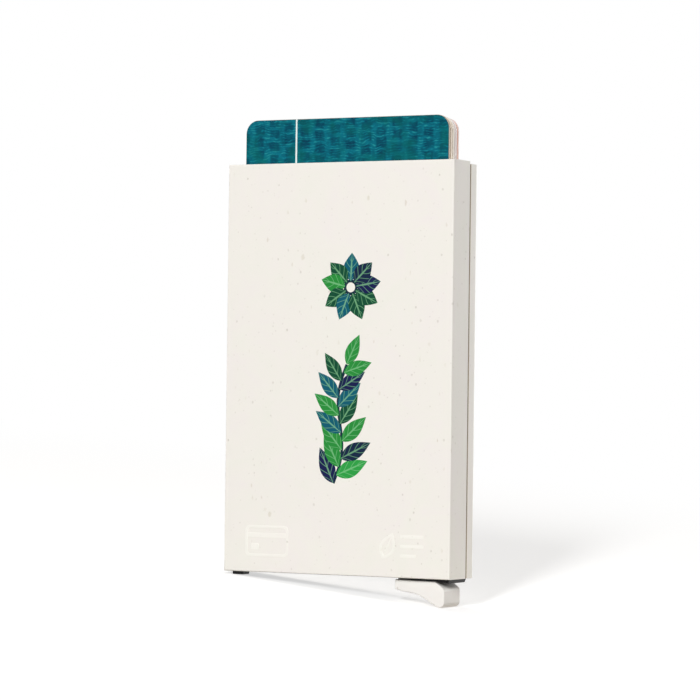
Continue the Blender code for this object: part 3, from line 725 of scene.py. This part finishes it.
def leavesAlong(tree, given, path):
    # on both sides of the path in turn with the last one straight on, or all on one side
    places = addNode(
        tree, "GeometryNodeCurveToPoints", {"Curve": path, "Count": given["Leaf Count"]}, mode="COUNT"
    ).outputs
    way = splitVector(tree, places["Tangent"])
    heading = calc(tree, "ARCTAN2", way["X"], way["Z"])
    number = addNode(tree, "GeometryNodeInputIndex").outputs[0]
    handed = calc(tree, "MULTIPLY_ADD", calc(tree, "MODULO", number, 2.0), 2.0, -1.0)
    last = calc(tree, "SUBTRACT", given["Leaf Count"], leafPrint["lastLeaf"])
    paired = calc(tree, "MULTIPLY", handed, calc(tree, "LESS_THAN", number, last))
    chosen = addNode(
        tree, "GeometryNodeSwitch",
        {"Switch": given["Both Sides"], "False": 1.0, "True": paired}, input_type="FLOAT",
    ).outputs[0]
    waver = addNode(
        tree, "FunctionNodeRandomValue",
        {"Min": -leafPrint["angleWaver"], "Max": leafPrint["angleWaver"], "Seed": given["Seed"]}, data_type="FLOAT",
    ).outputs["Value"]
    spread = calc(tree, "MULTIPLY_ADD", chosen, given["Leaf Angle"], heading)
    lift = calc(tree, "MULTIPLY", number, -leafPrint["leafStack"])
    spaced = addNode(
        tree, "GeometryNodeSetPosition", {"Geometry": places["Points"], "Offset": buildVector(tree, Y=lift)}
    )
    leaves = addNode(tree, "GeometryNodeInstanceOnPoints", {
        "Points": spaced.outputs[0],
        "Instance": leafBlade(tree, given),
        "Rotation": buildVector(tree, Y=calc(tree, "ADD", spread, waver)),
        "Scale": remap(tree, number, (0.0, last), (1.0, given["Tip Share"])),
    }).outputs[0]
    low, high = leafPrint["leafTones"]
    tone = addNode(
        tree, "FunctionNodeRandomValue", {"Min": low, "Max": high, "Seed": given["Seed"]}, data_type="FLOAT"
    )
    return storeValue(tree, leaves, "leafTone", tone.outputs["Value"], "INSTANCE")


def flatStem(tree, given, path):
    # a round tube along the path, pressed flat to the ink's thickness
    radius = calc(tree, "MULTIPLY", given["Stem Width"], 0.5)
    section = addNode(
        tree, "GeometryNodeCurvePrimitiveCircle", {"Resolution": leafPrint["stemSides"], "Radius": radius}
    )
    tube = addNode(
        tree, "GeometryNodeCurveToMesh", {"Curve": path, "Profile Curve": section.outputs[0], "Fill Caps": True}
    )
    pressing = buildVector(tree, X=1.0, Y=calc(tree, "DIVIDE", given["Ink Thickness"], radius), Z=1.0)
    return addNode(
        tree, "GeometryNodeTransform", {"Geometry": tube.outputs[0], "Scale": pressing}
    ).outputs[0]


def leafPrintTree():
    tree, given = newTree("leafPrint", {
        "Path": "Geometry",
        "Leaf Count": "Int",
        "Leaf Length": "Float",
        "Leaf Width": "Float",
        "Leaf Angle": "Float",
        "Tip Share": "Float",
        "Both Sides": "Bool",
        "Stem Width": "Float",
        "Ink Thickness": "Float",
        "Place": "Vector",
        "Seed": "Int",
        "Material": "Material",
    })
    path = addNode(tree, "GeometryNodeMeshToCurve", {"Mesh": given["Path"]}).outputs[0]
    both = join(tree, leavesAlong(tree, given, path), flatStem(tree, given, path))
    laid = addNode(tree, "GeometryNodeTransform", {"Geometry": both, "Translation": given["Place"]})
    real = addNode(tree, "GeometryNodeRealizeInstances", {"Geometry": laid.outputs[0]})
    return closeTree(tree, real.outputs[0], given["Material"])


def uvInk():
    # Ultraviolet-cured ink, printed: glossy greens and blues by leaf, with pale veins and a slightly pebbled film
    material, tree, shader, place = newMaterial("uvInk")
    tone, along, across = (
        addNode(tree, "ShaderNodeAttribute", attribute_name=name).outputs["Fac"]
        for name in ("leafTone", "leafAlong", "leafAcross")
    )
    inks = leafPrint["inks"]
    colour = ramp(tree, tone, [at / len(inks) for at in range(len(inks))], inks, "CONSTANT")
    outward = calc(tree, "ABSOLUTE", across)
    # side veins leave the midrib at a slant, so they follow the distance along less a share of that across
    slanted = calc(tree, "MULTIPLY_ADD", outward, leafPrint["veinSlant"], along)
    wave = calc(tree, "PINGPONG", calc(tree, "MULTIPLY", slanted, leafPrint["veinRows"]), 1.0)
    sideVein = remap(tree, wave, leafPrint["sideVeinEdge"])
    midrib = remap(tree, outward, leafPrint["midribEdge"])
    onLeaf = calc(tree, "GREATER_THAN", tone, leafPrint["stemTone"])
    shown = calc(tree, "MULTIPLY", calc(tree, "MAXIMUM", sideVein, midrib), onLeaf)
    share = calc(tree, "MULTIPLY", shown, leafPrint["veinShare"])
    film = noise(tree, place, leafPrint["film"], detail=2.0)["Fac"]
    finish(tree, shader, leafPrint, mixColour(tree, share, colour, linear(leafPrint["vein"])), film)
    return material


def pathMesh(name, points, closed):
    mesh = bpy.data.meshes.new(name)
    edges = [(at, at + 1) for at in range(len(points) - 1)]
    if closed:
        edges.append((len(points) - 1, 0))
    mesh.from_pydata(points, edges, [])
    return mesh


def addPrint():
    tree = leafPrintTree()
    ink = uvInk()
    layer = Vector((0.0, frontFace + leafPrint["lay"], 0.0))
    steps = leafPrint["roundSteps"]
    ring = [
        Vector((-sin(2 * pi * at / steps), 0.0, cos(2 * pi * at / steps))) * leafPrint["roundRadius"]
        for at in range(steps)
    ]
    foot, tip, steps = leafPrint["stemFoot"], leafPrint["stemTip"], leafPrint["stemSteps"]
    stem = [
        foot.lerp(tip, at / steps) + Vector((leafPrint["stemSway"] * sin(2 * pi * at / steps), 0.0, 0.0))
        for at in range(steps + 1)
    ]
    layouts = {
        "leafRound": (pathMesh("ringPath", ring, True), leafPrint["roundMiddle"], {
            "Leaf Count": leafPrint["roundLeaves"],
            "Leaf Length": leafPrint["roundLeafLength"],
            "Leaf Width": leafPrint["roundLeafWidth"],
            "Leaf Angle": radians(90),
            "Tip Share": 1.0,
            "Both Sides": False,
            "Seed": leafPrint["roundSeed"],
        }),
        "leafSprig": (pathMesh("stemPath", stem, False), Vector((0.0, 0.0, 0.0)), {
            "Leaf Count": leafPrint["sprigLeaves"],
            "Leaf Length": leafPrint["sprigLeafLength"],
            "Leaf Width": leafPrint["sprigLeafWidth"],
            "Leaf Angle": leafPrint["sprigLeafAngle"],
            "Tip Share": leafPrint["sprigTipShare"],
            "Both Sides": True,
            "Seed": leafPrint["sprigSeed"],
        }),
    }
    for name, (base, middle, values) in layouts.items():
        values["Stem Width"] = leafPrint["stemWidth"]
        values["Ink Thickness"] = leafPrint["inkThickness"]
        values["Place"] = layer + middle
        values["Material"] = ink
        addPiece(name, growPiece(name, tree, base, values), "case", ink)


addPrint()
print("front printed")


# Raised marks low on the front: a card sign at the left, a leaf with three bars at the right

marks = {
    "proud": 0.08 * mm,
    "sunk": 0.05 * mm,
    "edge": 0.05 * mm,
    "line": 0.6 * mm,
    "cardMiddle": (-18.3 * mm, 7.3 * mm),
    "cardSize": (11.6 * mm, 7.2 * mm),
    "cardRadius": 1.1 * mm,
    "stripeSize": (10.4 * mm, 1.1 * mm),
    "stripeRadius": 0.1 * mm,
    "stripeRise": 1.35 * mm,
    "chipSize": (2.0 * mm, 1.5 * mm),
    "chipRadius": 0.3 * mm,
    "chipPlace": (-3.2 * mm, -1.35 * mm),
    "leafMiddle": (13.9 * mm, 7.2 * mm),
    "leafSize": (3.9 * mm, 6.6 * mm),
    "leafTurn": radians(24),
    "leafFullness": 0.85,
    "hollowLess": (2, 3),  # how much less wide and high the leaf's hollow is than the leaf, in lines
    "ribShare": 0.75,
    "ribLess": 3.2,
    "barLeft": 17.2 * mm,
    "barHeight": 0.75 * mm,
    "barRadius": 0.2 * mm,
    "bars": ((6.0 * mm, 9.4 * mm), (6.0 * mm, 7.2 * mm), (4.0 * mm, 5.0 * mm)),
}


def roundedLoop(size, radius, middle, steps=6):
    loop = []
    for quarter, (sx, sz) in enumerate(((1, 1), (-1, 1), (-1, -1), (1, -1))):
        for at in range(steps + 1):
            turn = (quarter + at / steps) * pi / 2
            loop.append((
                middle[0] + sx * (size[0] / 2 - radius) + radius * cos(turn),
                middle[1] + sz * (size[1] / 2 - radius) + radius * sin(turn),
            ))
    return loop


def leafLoop(size, steps=14):
    turn, middle = marks["leafTurn"], marks["leafMiddle"]
    loop = []
    for side, order in ((1, range(steps)), (-1, range(steps, 0, -1))):
        for at in order:
            share = at / steps
            x = side * size[0] / 2 * sin(pi * share ** marks["leafFullness"])
            z = (share - 0.5) * size[1]
            loop.append((middle[0] + x * cos(turn) + z * sin(turn), middle[1] - x * sin(turn) + z * cos(turn)))
    return loop


def raiseLoop(work, outer, hollow=None):
    # a flat form, or a ring where there is a hollow, from inside the face to proud of it
    levels = (frontFace + marks["sunk"], frontFace - marks["proud"])
    rims = [
        [[work.verts.new((x, y, z)) for x, z in loop] for y in levels]
        for loop in (outer, hollow) if loop is not None
    ]
    steps = [(at, (at + 1) % len(outer)) for at in range(len(outer))]
    for back, front in rims:
        for at, after in steps:
            work.faces.new((back[at], back[after], front[after], front[at]))
    for level in (0, 1):
        if hollow is None:
            work.faces.new(rims[0][level])
        else:
            around, within = rims[0][level], rims[1][level]
            for at, after in steps:
                work.faces.new((around[at], around[after], within[after], within[at]))


def addMark(name, forms):
    work = bmesh.new()
    for form in forms:
        raiseLoop(work, *form)
    bmesh.ops.recalc_face_normals(work, faces=work.faces)
    mesh = bpy.data.meshes.new(name)
    work.to_mesh(mesh)
    work.free()
    addPiece(name, softenEdges(mesh, marks["edge"], 1), "case", raisedHighlightMoulding)


def addMarks():
    line = marks["line"]
    x, z = marks["cardMiddle"]
    wide, high = marks["cardSize"]
    hollow = roundedLoop((wide - 2 * line, high - 2 * line), marks["cardRadius"] - line / 2, (x, z))
    chipMiddle = (x + marks["chipPlace"][0], z + marks["chipPlace"][1])
    addMark("cardMark", (
        (roundedLoop((wide, high), marks["cardRadius"], (x, z)), hollow),
        (roundedLoop(marks["stripeSize"], marks["stripeRadius"], (x, z + marks["stripeRise"])),),
        (roundedLoop(marks["chipSize"], marks["chipRadius"], chipMiddle),),
    ))
    wide, high = marks["leafSize"]
    lessWide, lessHigh = marks["hollowLess"]
    leaf = (leafLoop((wide, high)), leafLoop((wide - lessWide * line, high - lessHigh * line)))
    rib = leafLoop((line * marks["ribShare"], high - marks["ribLess"] * line))
    bars = tuple(
        (roundedLoop((length, marks["barHeight"]), marks["barRadius"], (marks["barLeft"] + length / 2, rise)),)
        for length, rise in marks["bars"]
    )
    addMark("leafMark", (leaf, (rib,)) + bars)


addMarks()
print("marks raised")


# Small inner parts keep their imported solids

inner = {
    "front_shield": shieldSheet,
    "rear_shield": shieldSheet,
    "front_felt_pad": feltStrip,
    "rear_felt_pad": feltStrip,
    "pressure_spring_left": springStrip,
    "pressure_spring_right": springStrip,
    "chassis_screw_left": brightSteel,
    "chassis_screw_right": brightSteel,
    "lever_pin": brightSteel,
    "pivot_washer_front": washerNylon,
    "pivot_washer_rear": washerNylon,
}

for node, material in inner.items():
    data = frame["nodes"][node].data
    data.materials.clear()
    data.materials.append(material)
print("inner parts finished")


# Floor and light

# distances without mm are in metres, and powers in watts
studio = {
    "floorSize": 3.0,
    "footInset": 0.6 * mm,  # where the floor touches the foot and the tab, in from their ends
    "tabInset": 1.6 * mm,
    "floorBounce": "bcbcba",  # what the floor gives back to the object of the light that falls on it
    "floorGlow": 0.05,  # and what it gives back evenly, as a wide white sweep does
    "brightGlow": 0.55,  # the same for the brightly lit paper beside the lever
    "brightPlace": Vector((50, 16, -3)) * mm,
    "brightReach": 0.05,
    "floorNear": 0.2,  # radius of the part of the floor that takes shadows
    "floorFar": 0.45,
    "floorLit": "d2d2d2",  # the share of the seen floor that the lamps light
    "floorLift": 0.565,
    "world": 0.105,
    "fill": "fff1de",  # a slightly warm fill, so that the side turned from the key looks as warm as it does
    "target": Vector((0, 0, 45)) * mm,
}

lamps = {
    "keyLamp": {"place": Vector((648, -2092, 980)) * mm, "size": (0.22, 0.85), "power": 46.8},
    "rimLamp": {"place": Vector((280, 1370, 90)) * mm, "size": (0.6, 0.6), "power": 12.5},
    "topLamp": {"place": Vector((-40, 60, 1100)) * mm, "size": (0.4, 0.4), "power": 2.6},
    "leftLamp": {"place": Vector((-900, 40, 60)) * mm, "size": (0.4, 0.4), "power": 2.4},
}


def seenByRays(tree):
    # 1 for what the camera, a reflection or a transmission sees, 0 for the light that falls on the object
    rays = addNode(tree, "ShaderNodeLightPath").outputs
    direct = calc(tree, "MAXIMUM", rays["Is Camera Ray"], rays["Is Glossy Ray"])
    return calc(tree, "MAXIMUM", direct, rays["Is Transmission Ray"])


def glow(tree, colour, strength):
    return addNode(tree, "ShaderNodeEmission", {"Color": colour, "Strength": strength}).outputs[0]


def paperSweep():
    # Seamless white paper: to the camera it is white all over, apart from the object's shadow near its feet
    material, tree, shader, place = newMaterial("paperSweep")
    white = (1, 1, 1, 1)
    giveBack = addNode(tree, "ShaderNodeBsdfDiffuse", {"Color": linear(studio["floorBounce"])}).outputs[0]
    beside = calcVector(tree, "DISTANCE", place, studio["brightPlace"], result="Value")
    levels = (studio["brightGlow"], studio["floorGlow"])
    strength = remap(tree, beside, (0.0, studio["brightReach"]), levels, "SMOOTHSTEP")
    lit = glow(tree, linear(studio["fill"]), strength)
    bounce = addNode(tree, "ShaderNodeAddShader", {0: giveBack, 1: lit}).outputs[0]
    paper = addNode(tree, "ShaderNodeBsdfDiffuse", {"Color": linear(studio["floorLit"])}).outputs[0]
    lifted = addNode(tree, "ShaderNodeAddShader", {0: paper, 1: glow(tree, white, studio["floorLift"])}).outputs[0]
    spread = calcVector(tree, "LENGTH", place, result="Value")
    away = remap(tree, spread, (studio["floorNear"], studio["floorFar"]), easing="SMOOTHSTEP")
    faded = addNode(tree, "ShaderNodeMixShader", {0: away, 1: lifted, 2: glow(tree, white, 1.0)}).outputs[0]
    mixed = addNode(tree, "ShaderNodeMixShader", {0: seenByRays(tree), 1: bounce, 2: faded})
    tree.nodes.remove(shader)
    tree.links.new(mixed.outputs[0], tree.nodes["Material Output"].inputs["Surface"])
    return material


def addFloor():
    # The case stands on its foot and on the open tab, so the floor slants across it
    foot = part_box("chassis")[0]
    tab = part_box("lever_tab")
    low = Vector((foot.x + studio["footInset"], 0, foot.z))
    far = Vector((tab[1].x - studio["tabInset"], 0, tab[0].z))
    along = (far - low).normalized()
    across = Vector((0, 1, 0))
    half = studio["floorSize"] / 2
    corners = [low + along * half * sx + across * half * sy for sx, sy in ((-1, -1), (1, -1), (1, 1), (-1, 1))]
    mesh = bpy.data.meshes.new("floor")
    mesh.from_pydata(corners, [], [(0, 1, 2, 3)])
    mesh.materials.append(paperSweep())
    addObject("floor", mesh)


def addLamps():
    for name, lamp in lamps.items():
        made = addObject(name, bpy.data.lights.new(name, "AREA"))
        made.data.shape = "ELLIPSE"
        made.data.size, made.data.size_y = lamp["size"]
        made.data.energy = lamp["power"]
        made.visible_camera = False
        made.location = lamp["place"]
        made.rotation_euler = (studio["target"] - lamp["place"]).to_track_quat("-Z", "Y").to_euler()


def addWorld():
    world = bpy.data.worlds.new("studioWhite")
    bpy.context.scene.world = world
    world.use_nodes = True
    tree = world.node_tree
    ambient = tree.nodes["Background"]
    ambient.inputs["Color"].default_value = linear(studio["fill"])
    ambient.inputs["Strength"].default_value = studio["world"]
    white = addNode(tree, "ShaderNodeBackground", {"Color": (1, 1, 1, 1), "Strength": 1.0})
    mixed = addNode(tree, "ShaderNodeMixShader", {0: seenByRays(tree), 1: ambient.outputs[0], 2: white.outputs[0]})
    tree.links.new(mixed.outputs[0], tree.nodes["World Output"].inputs["Surface"])


addFloor()
addLamps()
addWorld()
bpy.context.scene.view_settings.view_transform = "Standard"
print("studio lit")
